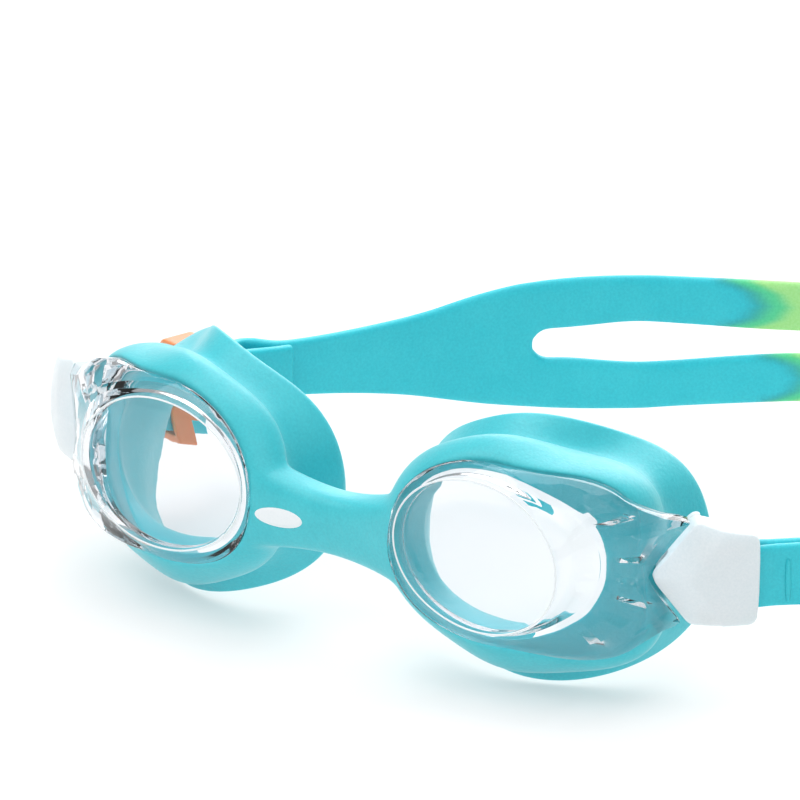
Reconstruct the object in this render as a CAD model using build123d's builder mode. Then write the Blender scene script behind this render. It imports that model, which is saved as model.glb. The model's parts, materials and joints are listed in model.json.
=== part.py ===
from build123d import *
import os
from math import cos, sin, radians

# Child's swim goggles. Millimetres. +Z up, -Y is the front, +X is the wearer's left.
# Local design coordinates have x = 0 on the nose line, y = 0 on the flat lens fronts and
# z = 0 at lens height. EYE_LINE moves them so that the origin is the bottom centre of the box.
EYE_LINE = Vector(-16.62, -68.594, 24.272)

# Lenses
LENS_X = 31.3
FRONT_NASAL, FRONT_TEMPLE, FRONT_HALF_HEIGHT = 16.3, 15.3, 12.7
RIM_NASAL, RIM_TEMPLE, RIM_HALF_HEIGHT = 17.8, 17.4, 15.4
SKIRT_NASAL, SKIRT_TEMPLE, SKIRT_HALF_HEIGHT = 16.9, 16.3, 14.2
BEVEL_DEPTH = 2.6
SKIRT_DEPTH = 4.0
WINDOW_THICKNESS = 1.8
LENS_WALL = 1.6
LENS_PLAY = 0.05

# Lens arm: the clear outrigger from the lens back to the clip
ARM_OUTER = [(44.5, 0.9), (51.0, 5.0), (54.6, 10.8), (61.2, 17.4)]
ARM_INNER = [(59.2, 19.4), (52.6, 13.4), (48.6, 7.6), (44.5, 4.6)]
ARM_OUTLINE = [(40, 14.3), (61.8, 7.4), (61.8, -10.2), (40, -14.9)]
ARM_HALF_SPAN = 20.0
NOSE_Z = -1.6
TONGUE_LENGTH, TONGUE_HEIGHT, TONGUE_THICKNESS = 8.4, 6.4, 1.8
TONGUE_START = -1.8

# Silicone frame: one oval per depth, as (depth, nasal x, temple x, top z, bottom z)
CUP_OUTSIDE = [
    (3.6, 12.6, 48.4, 15.8, -16.6),
    (8.5, 10.0, 51.2, 17.8, -21.6),
    (14.0, 8.6, 53.2, 19.2, -24.4),
    (20.0, 7.6, 53.8, 19.6, -25.0),
    (40.0, 7.6, 53.8, 19.6, -25.0),
]
CUP_INSIDE = [
    (3.0, 14.2, 47.8, 14.4, -14.6),
    (12.0, 12.0, 48.6, 15.2, -18.6),
    (20.0, 11.2, 50.4, 15.8, -20.6),
    (40.0, 11.2, 50.4, 15.8, -20.6),
]
CUP_CENTRE_X, CUP_CENTRE_Z = 32.0, -1.5
COLLAR_FRONT = CUP_OUTSIDE[0][0]

# Face that the seal meets, as radii about an upright axis: eye level, brow and cheek
FACE_FRONT, FACE_RADIUS, FACE_MID_Z = 18.4, 95.0, 0.0
FACE_BROW_RADIUS, FACE_BROW_Z = 102.0, 21.0
FACE_CHEEK_RADIUS, FACE_CHEEK_Z = 107.0, -26.0

# Nose bridge
BRIDGE_FRONT, BRIDGE_THICKNESS = 1.8, 4.6
BRIDGE_TOP, BRIDGE_BOTTOM = 1.9, -8.0
BRIDGE_END_X, BRIDGE_END_TOP, BRIDGE_END_BOTTOM = 13.4, 6.0, -10.0

# Clips: flat plane through the strap bar, with s along the clip and z up
CLIP_ANGLE = 43.6
CLIP_NOSE = (54.4, 14.25)
CLIP_LENGTH = 17.4
CLIP_OUTLINE = [(0, NOSE_Z), (5.2, 7.3), (17.4, 4.9), (17.0, -10.3), (4.6, -9.9)]
CLIP_RADII = [3.0, 1.6, 1.6, 1.6, 1.6]
CLIP_PEAK, CLIP_DOME_RADIUS, CLIP_DOME_Z = 5.4, 22.0, -2.4
CLIP_PARTING = -1.8
CLIP_BACK_FACE = -3.3
CLIP_BACK_START, CLIP_BACK_END = 1.5, 7.2
CLIP_GAP = 0.35
POCKET_START, POCKET_DEPTH = 7.05, 4.0
POCKET_TOP, POCKET_BOTTOM = 3.7, -9.3
TONGUE_PLAY = 0.15

# Strap bar
BAR_RADIUS = 0.75
BAR_S = 11.0
BAR_TOP, BAR_BOTTOM = 4.9, -10.0
BAR_X = CLIP_NOSE[0] + BAR_S * cos(radians(CLIP_ANGLE))
BAR_Y = CLIP_NOSE[1] + BAR_S * sin(radians(CLIP_ANGLE))
BAR_Z = -2.7

# Strap: two layers run back from each bar, then one band goes round the head
STRAP_THICKNESS = 1.7
LAYER_OFFSET = 1.05
LOOP_FRONT, LOOP_HALF_WIDTH, LOOP_CLOSED = -2.4, 2.35, 9.0
LOOP_RADII = [12.0, 2.0, 2.0, 12.0]
DOUBLED_LENGTH = 28.0
RIGHT_HEADING, LEFT_HEADING = 73.5, 49.0
# Stretches of the band past the doubled straight, as (length, turn)
LEFT_TAIL = [(12.0, 0)]
RIGHT_TAIL = [(4.0, -11), (8.0, 0)]
LEFT_HUMP = [(3.2, -42), (1.2, 0), (5.2, 84), (1.2, 0), (3.2, -42)]
RIGHT_HUMP = [(3.2, 38), (1.2, 0), (5.4, -92), (1.6, 0), (3.0, 38)]
RIGHT_BENDS = [(20.0, -5), (20.0, -6), (14.0, -8), (8.0, -3), (22.0, -3)]
BACK_RADIUS = 50.5

# Band heights against distance back from the bars, and the slot of the split yoke
YOKE_TOP, YOKE_BOTTOM = 5.8, -16.8
EDGE_TOP = [(-12, 2.6), (7, 2.3), (20, 1.8), (41, 0.2), (58, 1.4), (74, 4.6), (88, 6.4)]
EDGE_BOTTOM = [(-12, -8.1), (7, -8.3), (20, -9.0), (41, -9.7), (58, -11.8), (74, -15.2), (88, -17.4)]
EDGE_HEADING, EDGE_REACH, EDGE_SPARE = 64.0, 22.0, 8.0
SLOT_TOP, SLOT_BOTTOM = -2.5, -8.5
SLOT_RIGHT, SLOT_RIGHT_HEADING = (-22.6, 95.6), 48.0
SLOT_LEFT, SLOT_LEFT_HEADING = (104.6, 89.5), 92.0
SLOT_REACH, SLOT_BACK = 10.0, 160.0

# Sliders
SLIDER_S, SLIDER_LENGTH, SLIDER_THICKNESS = 20.5, 6.0, 6.6
SLIDER_ROUND = 1.2
SLIDER_TOP, SLIDER_BOTTOM = 4.6, -12.1
SLIDER_SLOT_THICKNESS, SLIDER_SLOT_TOP, SLIDER_SLOT_BOTTOM = 4.4, 3.0, -9.9

os.makedirs("parts", exist_ok=True)


def plan(z):
    """Horizontal plane at local height z, with local x and y as its axes."""
    return Plane(origin=EYE_LINE + Vector(0, 0, z))


def front(y):
    """Upright plane at local depth y, facing forward, with local x and z as its axes."""
    return Plane(origin=EYE_LINE + Vector(0, y, 0), x_dir=(1, 0, 0), z_dir=(0, -1, 0))


def side(x, y, heading):
    """Upright plane through (x, y) along a heading, with distance and z as its axes."""
    along = (cos(radians(heading)), sin(radians(heading)), 0)
    outward = (along[1], -along[0], 0)
    return Plane(origin=EYE_LINE + Vector(x, y, 0), x_dir=along, z_dir=outward)


def oval(centre_x, centre_z, nasal, temple, top, bottom):
    """Closed outline of four quarter ellipses around a centre."""
    centre = (centre_x, centre_z)
    with BuildLine(Plane.XY) as outline:
        EllipticalCenterArc(centre, temple, top, 0, arc_size=90)
        EllipticalCenterArc(centre, nasal, top, 90, arc_size=90)
        EllipticalCenterArc(centre, nasal, bottom, 180, arc_size=90)
        EllipticalCenterArc(centre, temple, bottom, 270, arc_size=90)
    make_face(outline.edges())


def cup_oval(nasal_x, temple_x, top, bottom):
    """One cross-section of an eye cup, from its four extreme edges."""
    oval(
        CUP_CENTRE_X,
        CUP_CENTRE_Z,
        CUP_CENTRE_X - nasal_x,
        temple_x - CUP_CENTRE_X,
        top - CUP_CENTRE_Z,
        CUP_CENTRE_Z - bottom,
    )


def skirt_oval(spare):
    """Outline of the skirt behind a lens, grown by a spare amount."""
    height = SKIRT_HALF_HEIGHT + spare
    oval(LENS_X, 0, SKIRT_NASAL + spare, SKIRT_TEMPLE + spare, height, height)


def arm_plan():
    """Outline of a lens arm seen from above."""
    with BuildLine(Plane.XY) as outline:
        Polyline(*ARM_OUTER, *ARM_INNER, close=True)
    make_face(outline.edges())


def rounded_outline(points, radii):
    """Closed polygon with one radius per corner."""
    with BuildLine(Plane.XY) as outline:
        FilletPolyline(*points, radius=radii, close=True)
    make_face(outline.edges())


CLIP_PLANE = side(*CLIP_NOSE, CLIP_ANGLE)
MID_PLANE = Plane.YZ.offset(EYE_LINE.X)

# Arm and tongue, which are part of each lens
with BuildPart() as arm:
    with BuildSketch(plan(-ARM_HALF_SPAN)):
        arm_plan()
    extrude(amount=2 * ARM_HALF_SPAN)
    with BuildSketch(front(0)):
        Polygon(*ARM_OUTLINE, align=None)
    extrude(amount=-30, mode=Mode.INTERSECT)
    with BuildSketch(CLIP_PLANE):
        rounded_outline(CLIP_OUTLINE, CLIP_RADII)
        offset(amount=CLIP_GAP, kind=Kind.ARC)
    extrude(amount=12, both=True, mode=Mode.SUBTRACT)
    with BuildSketch(CLIP_PLANE.offset(-TONGUE_THICKNESS / 2)):
        with Locations((TONGUE_START, NOSE_Z)):
            Rectangle(TONGUE_LENGTH, TONGUE_HEIGHT, align=(Align.MIN, Align.CENTER))
    extrude(amount=TONGUE_THICKNESS)

# Clear lens: flat window, bevelled rim, skirt that plugs into the frame, and the arm
with BuildPart() as lens_left:
    with BuildSketch(front(0)):
        oval(LENS_X, 0, FRONT_NASAL, FRONT_TEMPLE, FRONT_HALF_HEIGHT, FRONT_HALF_HEIGHT)
    with BuildSketch(front(BEVEL_DEPTH)):
        oval(LENS_X, 0, RIM_NASAL, RIM_TEMPLE, RIM_HALF_HEIGHT, RIM_HALF_HEIGHT)
    loft()
    with BuildSketch(front(BEVEL_DEPTH)):
        oval(LENS_X, 0, RIM_NASAL, RIM_TEMPLE, RIM_HALF_HEIGHT, RIM_HALF_HEIGHT)
    extrude(amount=-(COLLAR_FRONT - BEVEL_DEPTH))
    with BuildSketch(front(COLLAR_FRONT)):
        skirt_oval(0)
    extrude(amount=-SKIRT_DEPTH)
    add(arm.part)
    with BuildSketch(front(WINDOW_THICKNESS)):
        skirt_oval(-LENS_WALL)
    extrude(amount=-ARM_HALF_SPAN, mode=Mode.SUBTRACT)

with BuildPart() as lens_right:
    mirror(lens_left.part, about=MID_PLANE)

# The face that the seal meets: a body of revolution with a waist at eye height
with BuildPart() as face_form:
    with BuildSketch(side(0, FACE_FRONT + FACE_RADIUS, 0)):
        with BuildLine():
            bow = ThreePointArc(
                (FACE_CHEEK_RADIUS, FACE_CHEEK_Z),
                (FACE_RADIUS, FACE_MID_Z),
                (FACE_BROW_RADIUS, FACE_BROW_Z),
            )
            Polyline(bow @ 1, (0, FACE_BROW_Z), (0, FACE_CHEEK_Z), bow @ 0)
        make_face()
    revolve(axis=Axis((EYE_LINE.X, EYE_LINE.Y + FACE_FRONT + FACE_RADIUS, 0), (0, 0, 1)))

# One eye cup: outer skin less its hollow, trimmed to the face
with BuildPart() as cup:
    for depth, *edges in CUP_OUTSIDE:
        with BuildSketch(front(depth)):
            cup_oval(*edges)
    loft()
    add(face_form.part, mode=Mode.SUBTRACT)

with BuildPart() as cup_hollow:
    for depth, *edges in CUP_INSIDE:
        with BuildSketch(front(depth)):
            cup_oval(*edges)
    loft()

# Silicone frame: two cups joined by the nose bridge
with BuildPart() as frame:
    with BuildSketch(front(BRIDGE_FRONT)):
        with BuildLine():
            upper = ThreePointArc(
                (-BRIDGE_END_X, BRIDGE_END_TOP), (0, BRIDGE_TOP), (BRIDGE_END_X, BRIDGE_END_TOP)
            )
            lower = ThreePointArc(
                (BRIDGE_END_X, BRIDGE_END_BOTTOM), (0, BRIDGE_BOTTOM), (-BRIDGE_END_X, BRIDGE_END_BOTTOM)
            )
            Line(upper @ 1, lower @ 0)
            Line(lower @ 1, upper @ 0)
        make_face()
    extrude(amount=-BRIDGE_THICKNESS)
    add(cup.part)
    mirror(cup.part, about=MID_PLANE)
    add(cup_hollow.part, mode=Mode.SUBTRACT)
    mirror(cup_hollow.part, about=MID_PLANE, mode=Mode.SUBTRACT)
    with BuildSketch(front(COLLAR_FRONT)):
        skirt_oval(LENS_PLAY)
    pocket = extrude(amount=-SKIRT_DEPTH - LENS_PLAY, mode=Mode.SUBTRACT)
    mirror(pocket, about=MID_PLANE, mode=Mode.SUBTRACT)
    with BuildSketch(plan(-ARM_HALF_SPAN)):
        arm_plan()
        offset(amount=LENS_PLAY, kind=Kind.INTERSECTION)
    arm_relief = extrude(amount=2 * ARM_HALF_SPAN, mode=Mode.SUBTRACT)
    mirror(arm_relief, about=MID_PLANE, mode=Mode.SUBTRACT)
    with BuildSketch(CLIP_PLANE.offset(CLIP_BACK_FACE - CLIP_GAP)):
        with Locations((CLIP_BACK_START - CLIP_GAP, NOSE_Z)):
            Rectangle(CLIP_LENGTH, 2 * CLIP_LENGTH, align=(Align.MIN, Align.CENTER))
    clip_relief = extrude(amount=CLIP_LENGTH, mode=Mode.SUBTRACT)
    mirror(clip_relief, about=MID_PLANE, mode=Mode.SUBTRACT)
    with BuildSketch(CLIP_PLANE.offset(-TONGUE_THICKNESS / 2 - LENS_PLAY)):
        with Locations((TONGUE_START - LENS_PLAY, NOSE_Z)):
            Rectangle(
                TONGUE_LENGTH,
                TONGUE_HEIGHT + 2 * LENS_PLAY,
                align=(Align.MIN, Align.CENTER),
            )
    tongue_relief = extrude(amount=CLIP_LENGTH, mode=Mode.SUBTRACT)
    mirror(tongue_relief, about=MID_PLANE, mode=Mode.SUBTRACT)


# Clip cover: domed white shell over the lens tongue and the strap loop
ACROSS_CLIP = Plane(CLIP_PLANE.origin, x_dir=(0, 0, 1), z_dir=CLIP_PLANE.x_dir)

with BuildPart() as clip_cover_left:
    with BuildSketch(CLIP_PLANE.offset(CLIP_PARTING)):
        rounded_outline(CLIP_OUTLINE, CLIP_RADII)
    extrude(amount=CLIP_PEAK - CLIP_PARTING)
    with BuildSketch(ACROSS_CLIP):
        with Locations((CLIP_DOME_Z, CLIP_PEAK - CLIP_DOME_RADIUS)):
            Circle(CLIP_DOME_RADIUS)
    extrude(amount=CLIP_LENGTH * 2, both=True, mode=Mode.INTERSECT)
    with BuildSketch(CLIP_PLANE.offset(POCKET_DEPTH)):
        with Locations((POCKET_START, (POCKET_TOP + POCKET_BOTTOM) / 2)):
            Rectangle(CLIP_LENGTH, POCKET_TOP - POCKET_BOTTOM, align=(Align.MIN, Align.CENTER))
    extrude(amount=-10, mode=Mode.SUBTRACT)
    with BuildSketch(CLIP_PLANE.offset(TONGUE_THICKNESS / 2 + TONGUE_PLAY)):
        with Locations((TONGUE_START, NOSE_Z)):
            Rectangle(
                POCKET_START - TONGUE_START,
                TONGUE_HEIGHT + 2 * TONGUE_PLAY,
                align=(Align.MIN, Align.CENTER),
            )
    extrude(amount=-10, mode=Mode.SUBTRACT)
    with BuildSketch(plan(BAR_BOTTOM)):
        with Locations((BAR_X, BAR_Y)):
            Circle(BAR_RADIUS)
    extrude(amount=BAR_TOP - BAR_BOTTOM, mode=Mode.SUBTRACT)

# Clip back: plate that closes the clip behind the tongue
with BuildPart() as clip_back_left:
    with BuildSketch(CLIP_PLANE.offset(CLIP_BACK_FACE)):
        rounded_outline(CLIP_OUTLINE, CLIP_RADII)
        with Locations((CLIP_BACK_START, NOSE_Z)):
            Rectangle(
                CLIP_BACK_END - CLIP_BACK_START,
                CLIP_LENGTH * 2,
                align=(Align.MIN, Align.CENTER),
                mode=Mode.INTERSECT,
            )
    extrude(amount=CLIP_PARTING - CLIP_BACK_FACE)
    with BuildSketch(CLIP_PLANE.offset(CLIP_PARTING)):
        with Locations((CLIP_BACK_START, NOSE_Z)):
            Rectangle(
                CLIP_BACK_END - CLIP_BACK_START,
                TONGUE_HEIGHT,
                align=(Align.MIN, Align.CENTER),
            )
    extrude(amount=-CLIP_PARTING - TONGUE_THICKNESS / 2 - TONGUE_PLAY)

# Strap bar: upright pin held in the clip cover's side walls
with BuildPart() as strap_bar_left:
    with BuildSketch(plan(BAR_BOTTOM)):
        with Locations((BAR_X, BAR_Y)):
            Circle(BAR_RADIUS)
    extrude(amount=BAR_TOP - BAR_BOTTOM)

with BuildPart() as clip_cover_right:
    mirror(clip_cover_left.part, about=MID_PLANE)

with BuildPart() as clip_back_right:
    mirror(clip_back_left.part, about=MID_PLANE)

with BuildPart() as strap_bar_right:
    mirror(strap_bar_left.part, about=MID_PLANE)


def beside_strap(side_sign, heading, along, outward):
    """Local (x, y) beside a doubled strap: along it from its bar, and outward from its middle."""
    angle = radians(heading)
    x = side_sign * BAR_X + along * cos(angle) + side_sign * outward * sin(angle)
    y = BAR_Y + along * sin(angle) - side_sign * outward * cos(angle)
    return (x, y)


def loop_corners(side_sign, heading):
    """Corners of the band from its tail, round the bar and back along the outer layer."""
    places = [
        (DOUBLED_LENGTH, -LAYER_OFFSET),
        (LOOP_CLOSED, -LAYER_OFFSET),
        (LOOP_FRONT, -LOOP_HALF_WIDTH),
        (LOOP_FRONT, LOOP_HALF_WIDTH),
        (LOOP_CLOSED, LAYER_OFFSET),
        (DOUBLED_LENGTH, LAYER_OFFSET),
    ]
    return [beside_strap(side_sign, heading, *place) for place in places]


def heading_vector(heading):
    return Vector(cos(radians(heading)), sin(radians(heading)))


def follow(point, direction, stretches):
    """Add straight and curved stretches, each (length, turn), and return the last one."""
    for length, turn in stretches:
        if turn == 0:
            line = Line(point, point + direction * length)
        else:
            line = JernArc(point, direction, length / radians(abs(turn)), turn)
        point, direction = line @ 1, line % 1
    return line


def mirrored(stretches):
    """The same stretches, turning the other way."""
    return [(length, -turn) for length, turn in stretches]


def band_edge(points, limit):
    """Region between one edge of the band and a level beyond it, on the edge plane."""
    with BuildLine(Plane.XY) as outline:
        edge = Spline(*points)
        Polyline(edge @ 1, ((edge @ 1).X, limit), ((edge @ 0).X, limit), edge @ 0)
    make_face(outline.edges())


# Plan path of the strap, from the right tail round the head to the left tail
with BuildLine() as band:
    right_loop = FilletPolyline(*loop_corners(-1, RIGHT_HEADING), radius=LOOP_RADII)
    left_loop = FilletPolyline(*loop_corners(1, LEFT_HEADING), radius=LOOP_RADII)
    follow(right_loop @ 0, (right_loop % 0) * -1, RIGHT_TAIL)
    follow(left_loop @ 0, (left_loop % 0) * -1, LEFT_TAIL)
    right_hump = follow(right_loop @ 1, right_loop % 1, RIGHT_HUMP)
    left_hump = follow(left_loop @ 1, left_loop % 1, LEFT_HUMP)
    right_run = follow(right_hump @ 1, right_hump % 1, RIGHT_BENDS)
    # The arc round the back of the head meets both runs with a short straight each
    first, last = right_run % 1, left_hump % 1
    across = Vector(first.Y + last.Y, -first.X - last.X) * BACK_RADIUS
    gap = left_hump @ 1 - right_run @ 1 - across
    spread = first.cross(last).Z
    right_end = right_run @ 1 + first * (gap.cross(last).Z / spread)
    left_end = left_hump @ 1 + last * (gap.cross(first).Z / spread)
    Line(right_run @ 1, right_end)
    turn = first.get_signed_angle(last, Vector(0, 0, 1)) - 180
    JernArc(right_end, first, BACK_RADIUS, turn)
    Line(left_end, left_hump @ 1)

# Strap: the band at yoke height, trimmed to its edges and slotted at the back
with BuildPart() as strap:
    with BuildSketch(plan(YOKE_BOTTOM)):
        trace(band.wires(), line_width=STRAP_THICKNESS)
    extrude(amount=YOKE_TOP - YOKE_BOTTOM)
    for bar_x in (-BAR_X, BAR_X):
        with BuildSketch(side(bar_x, BAR_Y, EDGE_HEADING)):
            band_edge(EDGE_TOP, YOKE_TOP + EDGE_SPARE)
            band_edge(EDGE_BOTTOM, YOKE_BOTTOM - EDGE_SPARE)
        extrude(amount=EDGE_REACH, both=True, mode=Mode.SUBTRACT)
    # The slot's two round ends, and the long gap between them round the back
    slot_corners = []
    for end, heading in ((SLOT_RIGHT, SLOT_RIGHT_HEADING), (SLOT_LEFT, SLOT_LEFT_HEADING)):
        with BuildSketch(side(*end, heading)):
            with Locations((0, (SLOT_TOP + SLOT_BOTTOM) / 2)):
                Circle((SLOT_TOP - SLOT_BOTTOM) / 2)
        extrude(amount=SLOT_REACH, both=True, mode=Mode.SUBTRACT)
        slot_corners.append(Vector(*end))
    with BuildSketch(plan(SLOT_BOTTOM)):
        right, left = slot_corners
        reach_right = heading_vector(SLOT_RIGHT_HEADING + 90) * SLOT_REACH
        reach_left = heading_vector(SLOT_LEFT_HEADING - 90) * SLOT_REACH
        Polygon(
            right - reach_right,
            right + reach_right,
            (right.X - SLOT_REACH, SLOT_BACK),
            (left.X + SLOT_REACH, SLOT_BACK),
            left + reach_left,
            left - reach_left,
            align=None,
        )
    extrude(amount=SLOT_TOP - SLOT_BOTTOM, mode=Mode.SUBTRACT)

strap_length = sum(edge.length for edge in band.edges())
print("strap length with both tails", round(strap_length, 1), "mm")


def slider(side_sign, heading):
    """Rounded ring round the doubled strap, with its slot running along the strap."""
    start = beside_strap(side_sign, heading, SLIDER_S - SLIDER_LENGTH / 2, 0)
    along = heading_vector(heading)
    ring_plane = Plane(EYE_LINE + Vector(*start), x_dir=(0, 0, 1), z_dir=along)
    with BuildPart() as ring:
        with BuildSketch(ring_plane):
            with Locations(((SLIDER_TOP + SLIDER_BOTTOM) / 2, 0)):
                RectangleRounded(SLIDER_TOP - SLIDER_BOTTOM, SLIDER_THICKNESS, SLIDER_ROUND)
            with Locations(((SLIDER_SLOT_TOP + SLIDER_SLOT_BOTTOM) / 2, 0)):
                Rectangle(
                    SLIDER_SLOT_TOP - SLIDER_SLOT_BOTTOM,
                    SLIDER_SLOT_THICKNESS,
                    mode=Mode.SUBTRACT,
                )
        extrude(amount=SLIDER_LENGTH)
    return ring


slider_left = slider(1, LEFT_HEADING)
slider_right = slider(-1, RIGHT_HEADING)

frame.part.label = "frame"
export_step(frame.part, "parts/frame.step")
lens_left.part.label = "lens_left"
export_step(lens_left.part, "parts/lens_left.step")
lens_right.part.label = "lens_right"
export_step(lens_right.part, "parts/lens_right.step")
clip_cover_left.part.label = "clip_cover_left"
export_step(clip_cover_left.part, "parts/clip_cover_left.step")
clip_cover_right.part.label = "clip_cover_right"
export_step(clip_cover_right.part, "parts/clip_cover_right.step")
clip_back_left.part.label = "clip_back_left"
export_step(clip_back_left.part, "parts/clip_back_left.step")
clip_back_right.part.label = "clip_back_right"
export_step(clip_back_right.part, "parts/clip_back_right.step")
strap_bar_left.part.label = "strap_bar_left"
export_step(strap_bar_left.part, "parts/strap_bar_left.step")
strap_bar_right.part.label = "strap_bar_right"
export_step(strap_bar_right.part, "parts/strap_bar_right.step")
strap.part.label = "strap"
export_step(strap.part, "parts/strap.step")
slider_left.part.label = "slider_left"
export_step(slider_left.part, "parts/slider_left.step")
slider_right.part.label = "slider_right"
export_step(slider_right.part, "parts/slider_right.step")
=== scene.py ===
import json
from math import atan2, cos, hypot, pi, radians, sin, sqrt, tan

import bmesh
import bpy
import numpy as np
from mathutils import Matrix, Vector

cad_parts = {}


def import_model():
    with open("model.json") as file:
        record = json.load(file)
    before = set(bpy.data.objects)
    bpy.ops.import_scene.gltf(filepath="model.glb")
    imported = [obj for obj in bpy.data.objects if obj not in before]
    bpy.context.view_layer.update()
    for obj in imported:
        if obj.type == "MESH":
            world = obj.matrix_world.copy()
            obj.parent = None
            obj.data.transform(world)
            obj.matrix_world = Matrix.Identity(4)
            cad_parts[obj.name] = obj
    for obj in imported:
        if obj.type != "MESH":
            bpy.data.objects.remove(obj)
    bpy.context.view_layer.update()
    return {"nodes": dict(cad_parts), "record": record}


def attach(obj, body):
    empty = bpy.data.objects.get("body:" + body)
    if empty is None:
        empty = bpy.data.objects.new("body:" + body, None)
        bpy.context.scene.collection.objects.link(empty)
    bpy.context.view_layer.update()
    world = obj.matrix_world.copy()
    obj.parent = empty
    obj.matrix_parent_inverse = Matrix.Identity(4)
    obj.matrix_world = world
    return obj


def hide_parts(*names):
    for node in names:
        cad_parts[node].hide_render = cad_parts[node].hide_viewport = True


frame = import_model()

# Child's swim goggles. Lengths here are millimetres in the goggles' own coordinates, with
# x = 0 on the nose line, y = 0 on the flat lens fronts and z = 0 at lens height.
MM = 0.001
places = {mount["name"]: Vector(mount["pos_m"]) for mount in frame["record"]["mounts"]}
ORIGIN = (places["lens_face_left"] + places["lens_face_right"]) / 2
# Left is modelled, and right is its mirror image
SIDES = (("left", 1), ("right", -1))


def world(point):
    """A point in the goggles' coordinates, as metres in the shared frame."""
    return ORIGIN + Vector(point) * MM


# ---------------------------------------------------------------- colours and materials


def linear(red, green, blue):
    """Linear colour from 0..255 display values."""
    channels = []
    for value in (red, green, blue):
        share = value / 255
        channels.append(share / 12.92 if share <= 0.04045 else ((share + 0.055) / 1.055) ** 2.4)
    return (*channels, 1.0)


TURQUOISE = linear(48, 192, 204)
TURQUOISE_PALE = linear(66, 203, 214)
STRAP_BLUE = linear(38, 198, 213)
STRAP_BLUE_PALE = linear(58, 208, 221)
GREEN_EDGE = linear(86, 212, 152)
GREEN_PALE = linear(170, 232, 146)
CLIP_WHITE = linear(221, 231, 235)
CLIP_BRIGHT = linear(231, 238, 242)
ORANGE = linear(240, 132, 72)
ORANGE_PALE = linear(248, 152, 96)
# White of the printed mark, also the colour of the painted highlight round each window
MARK_AND_HIGHLIGHT_WHITE = linear(240, 245, 247)
FLOOR_GREY = (0.52, 0.52, 0.52, 1.0)
FLOOR_GREY_PALE = (0.54, 0.54, 0.54, 1.0)
BLACK = (0.0, 0.0, 0.0, 1.0)
WHITE = (1.0, 1.0, 1.0, 1.0)
LENS_TINT = (0.84, 0.86, 0.89, 1.0)
LAMP_LIGHT_THROUGH_LENS = (0.9, 0.95, 0.97, 1.0)
# Sizes of the noises in the materials, in features per metre
CLOUD_SCALE, STRAP_CLOUD_SCALE, FLOOR_CLOUD_SCALE = 120, 90, 3.0
SPECK_SCALE = 2600
SHEEN_SCALE, STRAP_SHEEN_SCALE = 700, 600
POLISH_SCALE, WAVE_SCALE = 900, 160
STRAP_GRAIN_SCALE = 2200


def new_material(name):
    """An empty node material with its shader and a coordinate source."""
    material = bpy.data.materials.new(name)
    material.use_nodes = True
    nodes = material.node_tree.nodes
    shader = nodes["Principled BSDF"]
    coordinates = nodes.new("ShaderNodeTexCoord")
    return material, nodes, material.node_tree.links, shader, coordinates


def noise(nodes, links, coordinates, scale, detail=3.0):
    """Noise in object coordinates, with scale in features per metre."""
    texture = nodes.new("ShaderNodeTexNoise")
    texture.inputs["Scale"].default_value = scale
    texture.inputs["Detail"].default_value = detail
    links.new(coordinates.outputs["Object"], texture.inputs["Vector"])
    return texture.outputs["Fac"]


def spread(nodes, links, source, low, high):
    """A map from the middle of a noise range to low..high."""
    stretch = nodes.new("ShaderNodeMapRange")
    stretch.inputs["From Min"].default_value = 0.3
    stretch.inputs["From Max"].default_value = 0.7
    stretch.inputs["To Min"].default_value = low
    stretch.inputs["To Max"].default_value = high
    links.new(source, stretch.inputs["Value"])
    return stretch.outputs["Result"]


def mix_colour(nodes, links, share, first, second):
    """A mix of two colours, each a value or a socket."""
    mix = nodes.new("ShaderNodeMix")
    mix.data_type = "RGBA"
    links.new(share, mix.inputs["Factor"])
    for socket, colour in ((mix.inputs[6], first), (mix.inputs[7], second)):
        if isinstance(colour, bpy.types.NodeSocket):
            links.new(colour, socket)
        else:
            socket.default_value = colour
    return mix.outputs[2]


def add_bump(nodes, links, shader, height, distance):
    """Bump of the given depth, in metres."""
    bump = nodes.new("ShaderNodeBump")
    bump.inputs["Distance"].default_value = distance
    links.new(height, bump.inputs["Height"])
    links.new(bump.outputs["Normal"], shader.inputs["Normal"])


def add_specks(nodes, links, shader, coordinates, colour, amount):
    """The base colour, with fine light and dark specks over it."""
    specks = spread(nodes, links, noise(nodes, links, coordinates, SPECK_SCALE, 2.0), 0.0, 1.0)
    tint = nodes.new("ShaderNodeMix")
    tint.data_type = "RGBA"
    tint.blend_type = "SOFT_LIGHT"
    tint.inputs["Factor"].default_value = amount
    links.new(colour, tint.inputs[6])
    links.new(specks, tint.inputs[7])
    links.new(tint.outputs[2], shader.inputs["Base Color"])


def moulded(name, base, pale, roughness, subsurface, grain, grain_depth):
    """Moulded rubber or plastic: cloudy colour, fine grain and uneven sheen."""
    material, nodes, links, shader, coordinates = new_material(name)
    cloud = spread(nodes, links, noise(nodes, links, coordinates, CLOUD_SCALE), 0.0, 0.55)
    cloudy = mix_colour(nodes, links, cloud, base, pale)
    add_specks(nodes, links, shader, coordinates, cloudy, 0.12)
    sheen_noise = noise(nodes, links, coordinates, SHEEN_SCALE, 4.0)
    sheen = spread(nodes, links, sheen_noise, roughness - 0.05, roughness + 0.06)
    links.new(sheen, shader.inputs["Roughness"])
    add_bump(nodes, links, shader, noise(nodes, links, coordinates, grain, 5.0), grain_depth)
    shader.inputs["Subsurface Weight"].default_value = subsurface
    shader.inputs["Subsurface Radius"].default_value = (0.9, 1.0, 1.0)
    shader.inputs["Subsurface Scale"].default_value = 0.0016
    shader.inputs["Specular IOR Level"].default_value = 0.7
    shader.inputs["Sheen Weight"].default_value = 0.3
    shader.inputs["Sheen Roughness"].default_value = 0.45
    return material


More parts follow.
